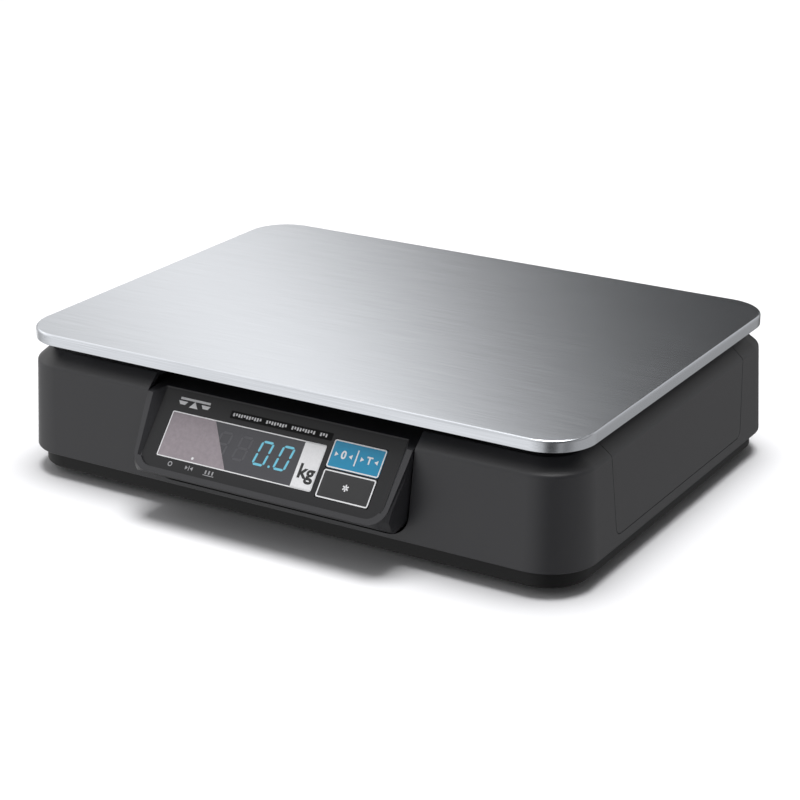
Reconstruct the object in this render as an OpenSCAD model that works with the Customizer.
// Flat bench scale: stainless tray on a single-point load cell, with a tilted
// display and two keys built into the front wall. The origin is on the floor,
// under the middle of the whole footprint. +Z is up and -Y is the user's side.

/* [Tray] */
// Width of the weighing tray
tray_w = 350; // [300:1:420]
// Depth of the weighing tray
tray_d = 256; // [220:1:310]
// Corner radius of the tray
tray_corner = 25.5; // [20:0.5:40]
// Thickness of the tray's sheet
tray_sheet = 1.2; // [0.8:0.1:2]
// Height of the tray's turned-down rim
tray_rim = 6.5; // [4:0.5:9]

/* [Heights] */
// Height of the weighing surface above the floor
overall_h = 85; // [80:1:110]
// Gap between the floor and the base
foot_gap = 4.4; // [4.4:0.1:8]
// Height of the dark band of the base that shows
base_band = 9.7; // [6:0.1:14]
// Drop from the weighing surface to the edge between wall and shoulder
shoulder_drop = 19.4; // [17:0.1:24]

/* [Housing] */
// Wall of the upper housing
shell = 2.6; // [2:0.1:3.5]
// Wall of the base
base_wall = 2.4; // [2:0.1:3.5]
// How far the wall leans out from shoulder to lower edge
wall_lean = 2.8; // [0:0.1:5]
// How far the shoulder slopes inwards
shoulder_run = 9; // [6:0.5:12]
// How high the shoulder slopes up
shoulder_rise = 7.5; // [5:0.5:9]
// How far the base band is set back from the lower edge
band_inset = 5; // [3:0.5:8]
// Gap round the side covers
seam = 0.3; // [0.2:0.05:0.8]
// Half length of a side cover at the shoulder
side_cover_half = 86; // [60:1:95]

/* [Display housing] */
// Width of the display housing at the shoulder
bezel_w = 168; // [150:1:200]
// How far the display housing stands out from the tray's front edge
bezel_reach = 24.7; // [18:0.1:32]
// Tilt of the display housing's rim back from vertical
rim_tilt = 34; // [28:0.5:38]
// Width of the rim's lip
rim_lip = 2.2; // [1.6:0.1:4]
// Sideways offset of the display from the middle
display_shift = 1; // [-10:0.5:10]
// Wall of the display housing
bezel_wall = 2.4; // [2:0.1:3]

/* [Label and display] */
// Tilt of the label back from vertical
label_tilt = 40; // [37:0.5:44]
// Width of the label
label_w = 153.6; // [148:0.1:160]
// Height of the label
label_h = 45.4; // [44:0.1:50]
// Thickness of the label plate
label_t = 0.8; // [0.5:0.1:1.2]
// Width of the display window
window_w = 99.4; // [80:0.1:110]
// Height of the display window
window_h = 26.2; // [20:0.1:30]
// Width of a key
key_w = 32; // [24:0.1:34]
// Height of a key
key_h = 15.8; // [12:0.1:16]
// Travel of a key
key_travel = 0.4; // [0.2:0.05:0.5]

/* [Load cell] */
// Length of the load cell
cell_l = 130; // [110:1:150]
// Width of the load cell
cell_w = 30; // [25:1:40]
// Height of the load cell
cell_h = 22; // [18:1:24]
// Travel of the carrier from no load to full load
weigh_travel = 0.4; // [0.2:0.05:0.4]
// Spacing of the tray posts along the width
post_span_x = 230; // [200:1:260]
// Spacing of the tray posts along the depth
post_span_y = 150; // [130:1:170]

/* [Feet] */
// Diameter of a foot's thread
foot_thread_d = 8; // [6:1:10]
// Travel of a levelling foot
foot_travel = 5; // [3:0.5:6]

/* [Hidden] */
$fn = 48;

// a sliver that carries cuts past a face
cut = 0.5;
// clearance of a running fit, per side
run_gap = 0.05;
graphite = [0.2, 0.2, 0.21];
near_black = [0.1, 0.1, 0.11];
steel_grey = [0.72, 0.72, 0.74];
brass_tone = [0.75, 0.62, 0.3];
board_green = [0.08, 0.32, 0.18];

// The tray's middle lies behind the origin, because the display reaches forward.
tray_half_d = tray_d / 2;
lean_slope = wall_lean / (overall_h - shoulder_drop - foot_gap - base_band);
body_y = (bezel_reach - wall_lean) / 2;

// Levels of the housing
base_z = foot_gap;
lower_edge_z = foot_gap + base_band;
shoulder_z = overall_h - shoulder_drop;
deck_z = shoulder_z + shoulder_rise;
deck_under_z = deck_z - shell;
floor_z = base_z + base_wall;
lip_z = lower_edge_z + 2.2;
tray_under_z = overall_h - tray_sheet;
pillar_split_z = 24;

// Outward offset of the wall's outer face from the tray's outline at a height
function lean_at(z) = (shoulder_z - z) * lean_slope;
// Front of the outer wall at a height
function wall_y(z) = -tray_half_d - lean_at(z);

band_offset = wall_lean - band_inset;

module place() {
    translate([0, body_y, 0]) children();
}

module rounded_plate(w, d, r, h) {
    linear_extrude(h) union() {
        square([w - 2 * r, d], center = true);
        square([w, d - 2 * r], center = true);
        for (sx = [-1, 1], sy = [-1, 1])
            translate([sx * (w / 2 - r), sy * (d / 2 - r)]) circle(r);
    }
}

// Sweeps a profile round the tray's outline. The profile's x is the distance
// from a corner's centre and its y is the height.
module sweep_round(w, d, r) {
    for (side = [0, 1]) {
        mirror([0, side, 0]) translate([-(w / 2 - r), d / 2 - r, 0])
            rotate([90, 0, 90]) linear_extrude(w - 2 * r) children();
        mirror([side, 0, 0]) translate([w / 2 - r, d / 2 - r, 0])
            rotate([90, 0, 0]) linear_extrude(d - 2 * r) children();
    }
    for (sx = [0, 1], sy = [0, 1])
        mirror([sx, 0, 0]) mirror([0, sy, 0])
            translate([w / 2 - r, d / 2 - r, 0]) rotate_extrude(angle = 90) children();
}

module sweep_tray_outline() {
    sweep_round(tray_w, tray_d, tray_corner) children();
}

// Points of a round corner of radius r about [cx, cy]
function arc_points(cx, cy, r, a0, a1, steps) =
    [for (i = [0:steps]) let (a = a0 + (a1 - a0) * i / steps) [cx + r * cos(a), cy + r * sin(a)]];

// ---- Upper housing ------------------------------------------------------
edge_round = 2.5;
slope_angle = atan2(shoulder_rise, shoulder_run);

// Wall and shoulder, from the lower edge up to the deck
module housing_profile() {
    r = tray_corner;
    inner_top = shoulder_z - shell * tan(slope_angle / 2);
    polygon(concat(
        [[r + wall_lean - shell, lower_edge_z], [r + wall_lean - 0.8, lower_edge_z],
         [r + wall_lean, lower_edge_z + 0.8]],
        arc_points(r - edge_round + lean_at(shoulder_z - edge_round / 2),
                   shoulder_z - edge_round * 0.4, edge_round, 0, 90 - slope_angle / 2, 4),
        [[r - shoulder_run, deck_z], [r - shoulder_run - 4, deck_z],
         [r - shoulder_run - 4, deck_under_z], [r - shoulder_run - 1, deck_under_z],
         [r - shell, inner_top]]));
}

module housing_shell() {
    sweep_tray_outline() housing_profile();
    w = tray_w - 2 * shoulder_run - 6;
    d = tray_d - 2 * shoulder_run - 6;
    translate([0, 0, deck_under_z]) rounded_plate(w, d, tray_corner - shoulder_run - 3, shell);
}

pillars = [for (sx = [-1, 1], y = [-96, -20, 96]) [sx * (tray_w / 2 - 22), y * tray_d / 256]];
pillar_d = 9;
screw_r = 1.5;
post_hole_d = 22;

// Outline of a side cover in the plane of the side wall: y along, z up
cover_low_z = lower_edge_z + 6.4;
cover_round = 5;
cover_lean = 6;

module cover_outline(grow) {
    top = side_cover_half + grow;
    low = side_cover_half - cover_lean + grow;
    r = cover_round + grow;
    bottom = cover_low_z - grow;
    polygon(concat(
        [[-top, overall_h], [top, overall_h]],
        arc_points(low - r, bottom + r, r, 0, -90, 6),
        arc_points(-low + r, bottom + r, r, -90, -180, 6)));
}

cover_inner_x = tray_w / 2 - shoulder_run + 1;

module cover_prism(grow, inner_x) {
    translate([inner_x, 0, 0]) rotate([90, 0, 90])
        linear_extrude(tray_w / 2 + wall_lean + 2 - inner_x) cover_outline(grow);
}

// The notch in front of which the display housing sits
bezel_half = bezel_w / 2;
bezel_low_z = lower_edge_z + 3.1;
bezel_corner = 12;
bezel_taper = 3.2;
notch_back_y = -tray_half_d + 36;

// Front outline of the display housing: x across, z up
module bezel_outline(grow) {
    top_z = shoulder_z + 0.3;
    h = top_z - bezel_low_z;
    low = bezel_half - bezel_taper + grow;
    r = bezel_corner + grow;
    z = bezel_low_z - grow;
    polygon(concat(
        [[-bezel_half - grow, overall_h], [-bezel_half - grow, top_z]],
        arc_points(-low + r, z + r, r, 180, 270, 8),
        arc_points(low - r, z + r, r, 270, 360, 8),
        [[bezel_half + grow, top_z], [bezel_half + grow, overall_h]]));
}

module bezel_prism(grow, y0, y1) {
    translate([display_shift, y1, 0]) rotate([90, 0, 0]) linear_extrude(y1 - y0) bezel_outline(grow);
}

port_x = -80;
port_w = 84;
port_h = 24;
port_z = lower_edge_z + 19;
port_depth = 14;
level_x = 92;
level_y = -88;
level_d = 18;

module top_housing() {
    color(graphite) place() difference() {
        union() {
            housing_shell();
            for (p = pillars) translate([p[0], p[1], pillar_split_z])
                cylinder(h = deck_under_z - pillar_split_z + cut, d = pillar_d);
            bezel_bosses();
        }
        for (p = pillars) translate([p[0], p[1], pillar_split_z - cut])
            cylinder(h = 16, r = screw_r);
        at_bezel_screws() cylinder(h = 9, r = screw_r);
        for (sx = [-1, 1], sy = [-1, 1])
            translate([sx * post_span_x / 2, sy * post_span_y / 2, deck_under_z - cut])
                cylinder(h = shell + 2 * cut, d = post_hole_d);
        for (side = [0, 1]) mirror([side, 0, 0]) cover_prism(seam, cover_inner_x - seam);
        bezel_prism(0.6, -tray_half_d - 10, notch_back_y);
        translate([port_x - port_w / 2, tray_half_d - port_depth, port_z - port_h / 2])
            cube([port_w, port_depth + 10, port_h]);
        translate([level_x, level_y, deck_under_z - cut])
            cylinder(h = shell + 2 * cut, d = level_d - 3);
    }
}

// ---- Side covers ---------------------------------------------------------
module side_cover() {
    intersection() {
        housing_shell_side();
        cover_prism(0, cover_inner_x);
    }
    for (sy = [-1, 1]) translate([0, sy * tongue_y, 0]) snap_tongue();
}

tongue_y = 50;
tongue_w = 12;
tongue_t = 2;
tongue_gap = 0.6;

// Tongue on the cover's inside that reaches down behind the housing's wall: x across, y up
module snap_tongue() {
    hook_x = tray_w / 2 + lean_at(cover_low_z) - shell - tongue_gap;
    root_x = tray_w / 2 + lean_at(cover_low_z + 10) - shell / 2;
    rotate([90, 0, 0]) linear_extrude(tongue_w, center = true) polygon([
        [hook_x - tongue_t, cover_low_z - 4], [hook_x, cover_low_z - 4],
        [hook_x, cover_low_z + 1], [root_x, cover_low_z + 1],
        [root_x, cover_low_z + 10], [hook_x - tongue_t, cover_low_z + 10]]);
}

module housing_shell_side() {
    translate([tray_w / 2 - tray_corner, tray_half_d - tray_corner, 0])
        rotate([90, 0, 0]) linear_extrude(tray_d - 2 * tray_corner) housing_profile();
}

module side_cover_right() {
    color(graphite) place() side_cover();
}

module side_cover_left() {
    color(graphite) place() mirror([1, 0, 0]) side_cover();
}

// ---- Base ----------------------------------------------------------------
foot_x = tray_w / 2 - 40;
foot_y = tray_d / 2 - 24;
insert_d = foot_thread_d + 4;
insert_h = foot_travel + 5;
cell_z = floor_z + 10;
cell_bolt_x = cell_l / 2 - 12;
cell_bolt_pitch = 15;
stop_x = post_span_x / 2 * 0.62;
stop_y = post_span_y / 2 * 0.62;
stop_gap = 0.05;
carrier_z = cell_z + cell_h + 5;
jack_body = 11;
board_t = 1.6;
board_z = port_z - jack_body / 2 - board_t;
board_w = 70;
board_d = 56;
board_x = port_x - 14;
board_y = tray_half_d - port_depth - 1 - board_d / 2;

function base_lip_offset(z) = lean_at(z) - shell - 0.4;

module base_profile() {
    r = tray_corner;
    outer = r + band_offset;
    lip = r + base_lip_offset(lip_z);
    polygon([
        [outer - base_wall - 6, base_z], [outer - 0.6, base_z], [outer, base_z + 0.6],
        [outer, lower_edge_z - 1], [lip, lower_edge_z], [lip, lip_z],
        [lip - base_wall, lip_z], [lip - base_wall, lower_edge_z + 0.6],
        [outer - base_wall, lower_edge_z - 2], [outer - base_wall, floor_z],
        [outer - base_wall - 6, floor_z]]);
}

module at_feet() {
    for (sx = [-1, 1], sy = [-1, 1]) translate([sx * foot_x, sy * foot_y, 0]) children();
}

module base_housing() {
    color(near_black) place() difference() {
        union() {
            sweep_tray_outline() base_profile();
            translate([0, 0, base_z])
                rounded_plate(tray_w - 10, tray_d - 10, tray_corner - 5 + band_offset, base_wall);
            for (p = pillars) translate([p[0], p[1], base_z])
                cylinder(h = pillar_split_z - base_z, d = pillar_d);
            at_feet() translate([0, 0, base_z]) cylinder(h = insert_h + 1, d = insert_d + 6);
            // seat of the load cell's fixed end
            translate([-cell_l / 2 - 2, -cell_w / 2 - 2, base_z])
                cube([34, cell_w + 4, cell_z - 5 - base_z]);
            for (sx = [-1, 1], sy = [-1, 1]) translate([sx * stop_x, sy * stop_y, base_z])
                cylinder(h = 16, d = 14);
            at_board_screws() translate([0, 0, base_z]) cylinder(h = board_z - base_z, d = 6);
        }
        for (p = pillars) translate([p[0], p[1], base_z - cut]) {
            cylinder(h = pillar_split_z, r = screw_r + 0.2);
            cylinder(h = 8, r = 3.2);
        }
        at_feet() translate([0, 0, base_z - cut]) cylinder(h = insert_h + 12, d = insert_d);
        at_cell_bolts(-1) translate([0, 0, base_z - cut]) cylinder(h = cell_z, r = 3.2);
        at_cell_bolts(-1) translate([0, 0, base_z - cut]) cylinder(h = 6, r = 6);
        for (sx = [-1, 1], sy = [-1, 1]) translate([sx * stop_x, sy * stop_y, base_z + 3])
            cylinder(h = 16, r = 3);
        at_board_screws() translate([0, 0, floor_z]) cylinder(h = 20, r = 1.2);
        // service opening for the adjusting switch, and its two screws
        translate([seal_x - 12, seal_y - 8, base_z - cut]) cube([24, 16, base_wall + 2 * cut]);
        at_seal_screws() translate([0, 0, base_z - cut]) cylinder(h = base_wall + 2 * cut, r = 1.2);
    }
}

// ---- Load cell and carrier --------------------------------------------------
module at_cell_bolts(end) {
    for (k = [0, 1])
        translate([end * (cell_bolt_x + 6 - cell_bolt_pitch * k), 0, 0]) children();
}

module load_cell() {
    color(steel_grey) place() difference() {
        translate([-cell_l / 2, -cell_w / 2, cell_z]) cube([cell_l, cell_w, cell_h]);
        // two joined bores leave the thin flexing sections
        for (sx = [-1, 1]) translate([sx * cell_l * 0.13, -cell_w / 2 - cut, cell_z + cell_h / 2])
            rotate([-90, 0, 0]) cylinder(h = cell_w + 2 * cut, d = cell_h - 5);
        translate([-cell_l * 0.13, -cell_w / 2 - cut, cell_z + cell_h / 2 - 3])
            cube([cell_l * 0.26, cell_w + 2 * cut, 6]);
        at_cell_bolts(-1) translate([0, 0, cell_z - cut]) cylinder(h = 14, r = 3);
        at_cell_bolts(1) translate([0, 0, cell_z + cell_h - 14]) cylinder(h = 14 + cut, r = 3);
    }
}

module lower_spacer() {
    color(steel_grey) place() difference() {
        translate([-cell_l / 2, -cell_w / 2, cell_z - 5]) cube([30, cell_w, 5]);
        at_cell_bolts(-1) translate([0, 0, cell_z - 6]) cylinder(h = 8, r = 3.2);
    }
}

module upper_spacer() {
    color(steel_grey) place() difference() {
        translate([cell_l / 2 - 30, -cell_w / 2, cell_z + cell_h]) cube([30, cell_w, 5]);
        at_cell_bolts(1) translate([0, 0, cell_z + cell_h - 1]) cylinder(h = 8, r = 3.2);
    }
}

module cap_screw(r, l, head_r, head_h) {
    cylinder(h = l, r = r);
    translate([0, 0, -head_h]) difference() {
        cylinder(h = head_h, r = head_r);
        translate([0, 0, -cut]) cylinder(h = head_h * 0.6, r = head_r * 0.5, $fn = 6);
    }
}

module lower_cell_screws() {
    color("gainsboro") place() at_cell_bolts(-1) translate([0, 0, base_z + 6 - cut])
        cap_screw(3, cell_z - base_z + 4, 5, 4);
}

carrier_t = 8;

module upper_cell_screws() {
    color("gainsboro") place() at_cell_bolts(1) translate([0, 0, carrier_z + carrier_t])
        mirror([0, 0, 1]) cap_screw(3, carrier_t + 5 + 12, 5, 4);
}

post_d = 14;
pad_t = 4;
pad_d = 20;
pad_stem_r = 3;
post_top_z = tray_under_z - pad_t;
arm_angle = atan2(post_span_y, post_span_x);
arm_l = norm([post_span_x, post_span_y]);

module at_posts() {
    for (sx = [-1, 1], sy = [-1, 1])
        translate([sx * post_span_x / 2, sy * post_span_y / 2, 0]) children();
}

rib_w = 4;
rib_h = 8;
arm_w = 18;
hub_w = 52;

// Two bars of a given width that cross over the middle and end at the posts
module cross_bars(w) {
    for (a = [-arm_angle, arm_angle]) rotate(a) square([arm_l, w], center = true);
}

module carrier() {
    color("silver") place() difference() {
        union() {
            translate([0, 0, carrier_z]) linear_extrude(carrier_t) union() {
                cross_bars(arm_w);
                square([cell_l, hub_w], center = true);
                at_posts() circle(post_d / 2 + 4);
            }
            translate([0, 0, carrier_z + carrier_t - cut])
                linear_extrude(rib_h + cut) cross_bars(rib_w);
            at_posts() translate([0, 0, carrier_z + 1])
                cylinder(h = post_top_z - carrier_z - 1, d = post_d);
        }
        at_cell_bolts(1) translate([0, 0, carrier_z - cut]) cylinder(h = 40, r = 3.2);
        at_cell_bolts(1) translate([0, 0, carrier_z + carrier_t]) cylinder(h = 20, r = 6);
        at_posts() translate([0, 0, post_top_z - 8]) cylinder(h = 10, r = pad_stem_r);
    }
}

module post_pads() {
    color("dimgray") place() at_posts() {
        translate([0, 0, post_top_z]) cylinder(h = pad_t, d = pad_d);
        translate([0, 0, post_top_z - 6]) cylinder(h = 6 + cut, r = pad_stem_r);
    }
}

// ---- Tray --------------------------------------------------------------------
bend_r = 2;

module tray_profile() {
    r = tray_corner;
    polygon(concat(
        [[r - tray_sheet, overall_h - tray_rim], [r, overall_h - tray_rim]],
        arc_points(r - bend_r, overall_h - bend_r, bend_r, 0, 90, 5),
        [[r - 8, overall_h], [r - 8, tray_under_z]],
        arc_points(r - bend_r, overall_h - bend_r, bend_r - tray_sheet, 90, 0, 5)));
}

module tray() {
    color("silver") place() {
        sweep_tray_outline() tray_profile();
        translate([0, 0, tray_under_z])
            rounded_plate(tray_w - 12, tray_d - 12, tray_corner - 6, tray_sheet);
        // rings that keep the tray on its pads
        at_posts() translate([0, 0, tray_under_z - 2.5]) difference() {
            cylinder(h = 2.5 + tray_sheet / 2, d = pad_d + 5);
            translate([0, 0, -cut]) cylinder(h = 2.5 + cut, d = pad_d + 1);
        }
    }
}

module overload_stops() {
    color("gainsboro") place() for (sx = [-1, 1], sy = [-1, 1])
        translate([sx * stop_x, sy * stop_y, 0]) {
            translate([0, 0, base_z + 4])
                cylinder(h = carrier_z - weigh_travel - stop_gap - base_z - 4, r = 3);
            translate([0, 0, base_z + 16]) cylinder(h = 5, r = 5.5, $fn = 6);
        }
}

// ---- Display housing ----------------------------------------------------------
rim_low_z = lower_edge_z + 15.9;
rim_low_y = -tray_half_d - bezel_reach;
label_recess = 1.2;
label_low_z = rim_low_z + rim_lip * cos(rim_tilt);
label_low_y = rim_low_y + rim_lip * sin(rim_tilt) + label_recess;
rim_top_z = shoulder_z - 0.3;
rim_top_y = rim_low_y + (rim_top_z - rim_low_z) * tan(rim_tilt);
label_top_z = label_low_z + label_h * cos(label_tilt);
label_top_y = label_low_y + label_h * sin(label_tilt);
label_corner = 9;
bezel_floor = 2;

// Local x across, local y up the slope, local z out of the label
module on_label() {
    translate([display_shift, label_low_y, label_low_z]) rotate([90 - label_tilt, 0, 0]) children();
}

module label_outline(inset) {
    w = label_w / 2 - inset;
    r = label_corner - inset;
    polygon(concat(
        [[-w, label_h]],
        arc_points(-w + r, inset + r, r, 180, 270, 8),
        arc_points(w - r, inset + r, r, 270, 360, 8),
        [[w, label_h]]));
}

// Side view of the display housing: y along, z up
module bezel_side() {
    polygon([
        [rim_low_y, rim_low_z], [rim_top_y, rim_top_z], [label_top_y, label_top_z + 0.6],
        [notch_back_y - 1, label_top_z + 0.6], [notch_back_y - 1, label_top_z - bezel_wall],
        [wall_y(bezel_low_z) + 6, bezel_low_z + 2], [wall_y(bezel_low_z), bezel_low_z],
        [rim_low_y + 1.2, rim_low_z - 1.4]]);
}

module along_x(w) {
    translate([display_shift - w / 2, 0, 0]) rotate([90, 0, 90]) linear_extrude(w) children();
}

module bezel_block() {
    intersection() {
        along_x(bezel_w + 2) bezel_side();
        bezel_prism(0, rim_low_y - 5, notch_back_y + 5);
    }
}

// Side view of the hollow inside the display housing
module hollow_side() {
    low = bezel_low_z + 2 * bezel_wall;
    polygon([
        [rim_low_y - 2, rim_low_z + 1], [rim_low_y - 2, label_top_z + 1],
        [notch_back_y + 50, label_top_z + 1], [notch_back_y + 50, low],
        [wall_y(bezel_low_z), low]]);
}

// Hollow behind the label's floor, open at the back
module bezel_hollow() {
    intersection() {
        on_label() translate([-bezel_w / 2, -30, -90 - label_t - bezel_floor])
            cube([bezel_w, 30 + label_h - 1, 90]);
        bezel_prism(-bezel_wall, rim_low_y - 5, notch_back_y + 50);
        along_x(bezel_w + 2) hollow_side();
    }
}

module cheek_cut() {
    depth = 16;
    on_label() translate([0, label_corner / 2, 0]) rotate([-90, 0, 0])
        linear_extrude(label_h + 30) polygon([
            [-label_w / 2, 0], [label_w / 2, 0],
            [label_w / 2 + depth * 0.72, -depth], [-label_w / 2 - depth * 0.72, -depth]]);
}

window_x = -window_w / 2 - 17.4;
window_bottom = 7;
key_x = window_x + window_w + 3.3;
key_gap = 0.9;
function_key_y = 5.4;
zero_key_y = function_key_y + key_h + key_gap;
key_clear = 0.2;

module at_keys() {
    for (y = [function_key_y, zero_key_y]) translate([key_x, y, 0]) children();
}

module display_bezel() {
    color(graphite) place() difference() {
        union() {
            difference() {
                bezel_block();
                bezel_hollow();
            }
            bezel_tabs();
        }
        on_label() translate([0, 0, -label_t]) linear_extrude(40) label_outline(0);
        cheek_cut();
        on_label() {
            // ledge that the window rests on
            translate([window_x + 1.4, window_bottom + 1.4, -20])
                cube([window_w - 2.8, window_h - 2.8, 20]);
            at_keys() translate([-key_clear, -key_clear, -20])
                cube([key_w + 2 * key_clear, key_h + 2 * key_clear, 20]);
        }
        at_bezel_screws() translate([0, 0, -2]) cylinder(h = 14, r = 1.7);
    }
}

tab_y = -tray_half_d + 9;
tab_z = [lower_edge_z + 16, shoulder_z - 14];
tab_reach = 9;
boss_d = 7;

// flat ears behind the front wall, and the screws that hold them
module bezel_tabs() {
    for (sx = [-1, 1], z = tab_z)
        translate([display_shift + sx * (bezel_half - 3) - (tab_reach + 3), tab_y, z - 6])
            cube([2 * (tab_reach + 3), 2.4, 12]);
}

module at_bezel_screws() {
    for (sx = [-1, 1], z = tab_z)
        translate([display_shift + sx * (bezel_half + 5), tab_y + 2.4, z]) rotate([90, 0, 0]) children();
}

// bosses that reach from the ears to the middle of the front wall
module bezel_bosses() {
    for (sx = [-1, 1], z = tab_z)
        translate([display_shift + sx * (bezel_half + 5), tab_y, z]) rotate([90, 0, 0])
            cylinder(h = tab_y - wall_y(z) - shell / 2, d = boss_d);
}

module bezel_screws() {
    color("gainsboro") place() at_bezel_screws() cap_screw(1.45, 8, 2.8, 1.8);
}

module label_plate() {
    color([0.22, 0.22, 0.23]) place() on_label() difference() {
        translate([0, 0, -label_t]) linear_extrude(label_t) label_outline(0.1);
        translate([window_x - 0.1, window_bottom - 0.1, -2])
            cube([window_w + 0.2, window_h + 0.2, 4]);
        at_keys() translate([-key_clear, -key_clear, -2])
            cube([key_w + 2 * key_clear, key_h + 2 * key_clear, 4]);
    }
}

module display_window() {
    color([0.4, 0.4, 0.42]) place() on_label() translate([window_x, window_bottom, -label_t])
        cube([window_w, window_h, label_t]);
}

stack_top = -label_t - bezel_floor - 0.2;
lcd_t = 2.6;
backlight_t = 3;
display_board_top = stack_top - lcd_t - backlight_t;

module lcd_panel() {
    color([0.3, 0.32, 0.34]) place() on_label()
        translate([window_x + 0.2, window_bottom - 1, stack_top - lcd_t])
            cube([window_w - 0.4, window_h + 2, lcd_t]);
}

module lcd_backlight() {
    color("whitesmoke") place() on_label()
        translate([window_x + 0.2, window_bottom - 1, stack_top - lcd_t - backlight_t])
            cube([window_w - 0.4, window_h + 2, backlight_t]);
}

module display_board() {
    color(board_green) place() on_label()
        translate([-label_w / 2 + 9, 4, display_board_top - board_t])
            cube([label_w - 18, label_h - 10, board_t]);
}

flange = 1.1;
plunger_r = 2;
plunger_tip = display_board_top + 4.1;
switch_top = plunger_tip - key_travel - 0.05;

module key(y) {
    on_label() translate([key_x, y, 0]) {
        translate([0, 0, -label_t - bezel_floor]) cube([key_w, key_h, label_t + bezel_floor + 0.3]);
        translate([-flange, 0, -label_t - bezel_floor - 0.9])
            cube([key_w + 2 * flange, key_h, 0.9]);
        translate([key_w / 2, key_h / 2, plunger_tip])
            cylinder(h = -label_t - bezel_floor - plunger_tip, r = plunger_r);
    }
}

module zero_tare_key() {
    color([0.15, 0.6, 0.78]) place() key(zero_key_y);
}

module function_key() {
    color([0.16, 0.16, 0.17]) place() key(function_key_y);
}

module key_switches() {
    color("black") place() on_label() at_keys() translate([key_w / 2, key_h / 2, 0]) {
        translate([-3, -3, display_board_top]) cube([6, 6, switch_top - 1 - display_board_top]);
        translate([0, 0, display_board_top]) cylinder(h = switch_top - display_board_top, r = 1.7);
    }
}

// ---- Electronics ------------------------------------------------------------
module at_board_screws() {
    for (sx = [-1, 1], sy = [-1, 1])
        translate([board_x + sx * (board_w / 2 - 5), board_y + sy * (board_d / 2 - 5), 0]) children();
}

module main_board() {
    color(board_green) place() difference() {
        union() {
            translate([board_x - board_w / 2, board_y - board_d / 2, board_z])
                cube([board_w, board_d, board_t]);
            // processor, two capacitors and the shielded converter
            translate([board_x - 2, board_y - 14, board_z + board_t]) cube([14, 14, 1.6]);
            for (k = [0, 1]) translate([board_x + 28, board_y - 12 + 12 * k, board_z + board_t])
                cylinder(h = 10, d = 8);
            translate([board_x - 30, board_y - 18, board_z + board_t]) cube([22, 18, 4]);
        }
        at_board_screws() translate([0, 0, board_z - cut]) cylinder(h = 4, r = 1.7);
    }
}

module board_screws() {
    color("gainsboro") place() at_board_screws() translate([0, 0, board_z + board_t])
        mirror([0, 0, 1]) cap_screw(1.2, 9, 2.6, 1.6);
}

panel_gap = 0.2;
panel_wall = 2;
panel_back_y = tray_half_d - port_depth + panel_gap;
jack_x = port_x - 28;
serial_x = port_x - 1;
switch_x = port_x + 29;
jack_r = 3.1;
serial_w = 17;
serial_h = 9;
switch_w = 10;
switch_h = 16;

// Recessed pan in the rear wall that carries the sockets and the switch
module port_panel() {
    w = port_w - 2 * panel_gap;
    h = port_h - 2 * panel_gap;
    y1 = tray_half_d - 0.5;
    color(near_black) place() difference() {
        translate([port_x - w / 2, panel_back_y, port_z - h / 2]) cube([w, y1 - panel_back_y, h]);
        translate([port_x - w / 2 + panel_wall, panel_back_y + panel_wall,
                   port_z - h / 2 + panel_wall])
            cube([w - 2 * panel_wall, port_depth, h - 2 * panel_wall]);
        translate([jack_x, panel_back_y - cut, port_z]) rotate([-90, 0, 0])
            cylinder(h = 4, r = jack_r + 1.4);
        translate([serial_x - serial_w / 2 - 0.2, panel_back_y - cut, port_z - serial_h / 2 - 0.2])
            cube([serial_w + 0.4, 4, serial_h + 0.4]);
        translate([switch_x - switch_w / 2 - 0.1, panel_back_y - cut, port_z - switch_h / 2 - 0.1])
            cube([switch_w + 0.2, 4, switch_h + 0.2]);
    }
}

module power_jack() {
    color("black") place() difference() {
        union() {
            translate([jack_x - 4.5, panel_back_y - 12, port_z - jack_body / 2])
                cube([9, 12, jack_body]);
            translate([jack_x, panel_back_y - 2, port_z]) rotate([-90, 0, 0])
                cylinder(h = 2 + panel_wall + 0.6, r = jack_r + 1.2);
        }
        translate([jack_x, panel_back_y - 9, port_z]) rotate([-90, 0, 0])
            cylinder(h = 16, r = jack_r);
    }
}

// Two-row serial socket: metal shroud round a block with nine contact holes
module serial_port() {
    d = 10;
    color("silver") place() translate([serial_x, panel_back_y, port_z]) difference() {
        translate([-serial_w / 2, -d, -serial_h / 2]) cube([serial_w, d + panel_wall + 3, serial_h]);
        difference() {
            translate([-serial_w / 2 + 0.8, -d + 2, -serial_h / 2 + 0.8])
                cube([serial_w - 1.6, d + 6, serial_h - 1.6]);
            translate([-serial_w / 2 + 2.4, -d, -1.6]) cube([serial_w - 4.8, d + 3, 3.2]);
        }
    }
}

rocker_r = 1.5;
rocker_y = panel_back_y + 1.5;
rocker_half = 12;
rocker_w = switch_w - 2.8;

module switch_frame() {
    color("black") place() difference() {
        translate([switch_x - switch_w / 2, panel_back_y - 9, port_z - switch_h / 2])
            cube([switch_w, 9 + panel_wall + 2, switch_h]);
        translate([switch_x - rocker_w / 2 - 0.3, panel_back_y - 7.5, port_z - switch_h / 2 + 1])
            cube([rocker_w + 0.6, 30, switch_h - 2]);
        translate([switch_x - switch_w, rocker_y, port_z]) rotate([0, 90, 0])
            cylinder(h = 2 * switch_w, r = rocker_r + run_gap);
    }
}

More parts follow.
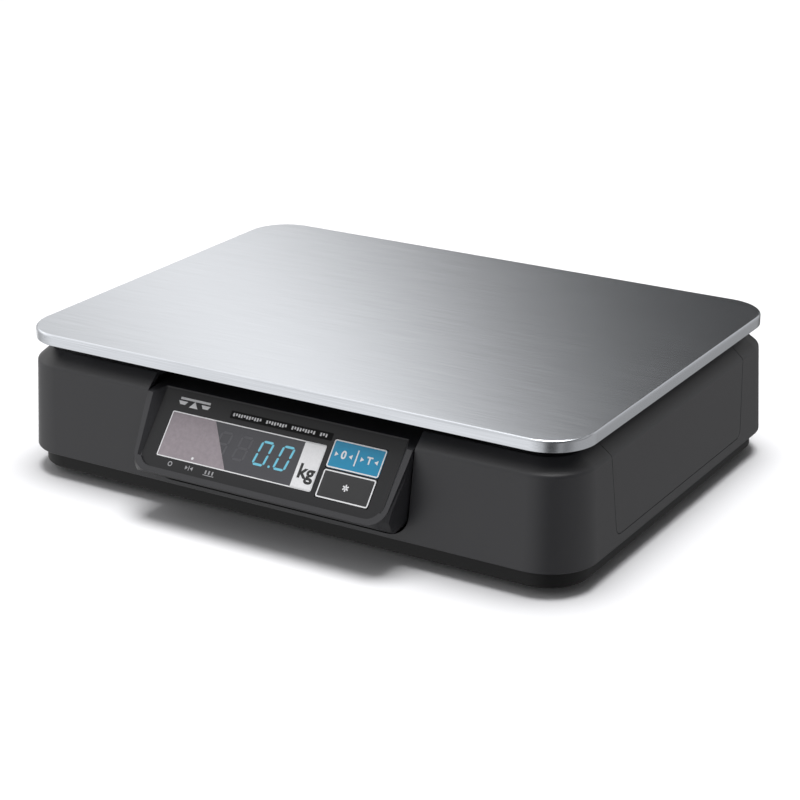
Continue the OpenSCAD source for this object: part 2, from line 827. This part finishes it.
// Rocker in its off position: two faces that meet in a shallow V over the pivot
module power_rocker() {
    color("black") place() translate([switch_x, rocker_y, port_z]) {
        rotate([0, 90, 0]) cylinder(h = switch_w - 0.4, r = rocker_r, center = true);
        rotate([rocker_half, 0, 0]) translate([-rocker_w / 2, 0, 0]) rotate([90, 0, 90])
            linear_extrude(rocker_w) polygon([
                [-3.2, -4], [2, -6.1], [3.1, -6.1], [1.8, 0], [3.1, 6.1], [2, 6.1], [-3.2, 4]]);
    }
}

module case_screws() {
    color("gainsboro") place() for (p = pillars) translate([p[0], p[1], base_z + 7.5])
        cap_screw(screw_r - 0.02, 26, 2.9, 2.4);
}

// ---- Service cover --------------------------------------------------------------
seal_x = 60;
seal_y = 70;

module at_seal_screws() {
    for (sx = [-1, 1]) translate([seal_x + sx * 17, seal_y, 0]) children();
}

module seal_cover() {
    color(near_black) place() difference() {
        union() {
            translate([seal_x - 22, seal_y - 11, base_z - 1.4]) cube([44, 22, 1.4]);
            translate([seal_x - 11.6, seal_y - 7.6, base_z - 1]) cube([23.2, 15.2, 3]);
        }
        at_seal_screws() translate([0, 0, base_z - 2]) cylinder(h = 4, r = 1.4);
    }
}

module seal_screws() {
    color("gainsboro") place() at_seal_screws() translate([0, 0, base_z - 1.4])
        cap_screw(1.2, 3.6, 2.4, 1.4);
}

// ---- Spirit level -----------------------------------------------------------------
module level_holder() {
    color(near_black) place() translate([level_x, level_y, deck_z]) difference() {
        union() {
            cylinder(h = 2, d = level_d);
            translate([0, 0, -5]) cylinder(h = 6, d = level_d - 3.2);
        }
        translate([0, 0, -3.5]) cylinder(h = 8, d = 12);
    }
}

module level_vial() {
    color([0.75, 0.9, 0.4]) place() translate([level_x, level_y, deck_z - 3.5]) difference() {
        cylinder(h = 5, d = 11.9);
        translate([0, 0, 2.6]) cylinder(h = 1.2, d = 4);
    }
}

// ---- Feet ---------------------------------------------------------------------------
stud_r = foot_thread_d / 2;
wheel_d = 26;
wheel_z = 1.6;
wheel_t = foot_gap - wheel_z - 0.3;

module foot_inserts() {
    color(brass_tone) place() at_feet() translate([0, 0, base_z + 0.4]) difference() {
        cylinder(h = insert_h, d = insert_d);
        translate([0, 0, -cut]) cylinder(h = insert_h + 2 * cut, r = stud_r + run_gap);
    }
}

module at_foot(sx, sy) {
    place() translate([sx * foot_x, sy * foot_y, 0]) children();
}

module foot_stud(sx, sy) {
    color("gainsboro") at_foot(sx, sy) translate([0, 0, wheel_z + 0.2])
        cylinder(h = insert_h + base_z + 2 - wheel_z, r = stud_r);
}

module foot_wheel(sx, sy) {
    color(near_black) at_foot(sx, sy) translate([0, 0, wheel_z]) difference() {
        cylinder(h = wheel_t, d = wheel_d);
        translate([0, 0, -cut]) cylinder(h = wheel_t + 2 * cut, r = stud_r + run_gap);
        // finger grooves round the wheel
        for (k = [0:11]) rotate([0, 0, k * 30]) translate([wheel_d / 2 + 0.8, 0, -cut])
            cylinder(h = wheel_t + 2 * cut, r = 2, $fn = 24);
    }
}

module foot_pad(sx, sy) {
    color("dimgray") at_foot(sx, sy) cylinder(h = wheel_z, d = wheel_d - 5);
}

module foot_stud_front_left() { foot_stud(-1, -1); }
module foot_wheel_front_left() { foot_wheel(-1, -1); }
module foot_pad_front_left() { foot_pad(-1, -1); }
module foot_stud_front_right() { foot_stud(1, -1); }
module foot_wheel_front_right() { foot_wheel(1, -1); }
module foot_pad_front_right() { foot_pad(1, -1); }
module foot_stud_rear_left() { foot_stud(-1, 1); }
module foot_wheel_rear_left() { foot_wheel(-1, 1); }
module foot_pad_rear_left() { foot_pad(-1, 1); }
module foot_stud_rear_right() { foot_stud(1, 1); }
module foot_wheel_rear_right() { foot_wheel(1, 1); }
module foot_pad_rear_right() { foot_pad(1, 1); }

base_housing();
top_housing();
side_cover_right();
side_cover_left();
display_bezel();
label_plate();
display_window();
lcd_panel();
lcd_backlight();
display_board();
key_switches();
zero_tare_key();
function_key();
bezel_screws();
load_cell();
lower_spacer();
upper_spacer();
lower_cell_screws();
upper_cell_screws();
carrier();
post_pads();
tray();
overload_stops();
main_board();
board_screws();
port_panel();
power_jack();
serial_port();
switch_frame();
power_rocker();
case_screws();
seal_cover();
seal_screws();
level_holder();
level_vial();
foot_inserts();
foot_stud_front_left();
foot_wheel_front_left();
foot_pad_front_left();
foot_stud_front_right();
foot_wheel_front_right();
foot_pad_front_right();
foot_stud_rear_left();
foot_wheel_rear_left();
foot_pad_rear_left();
foot_stud_rear_right();
foot_wheel_rear_right();
foot_pad_rear_right();
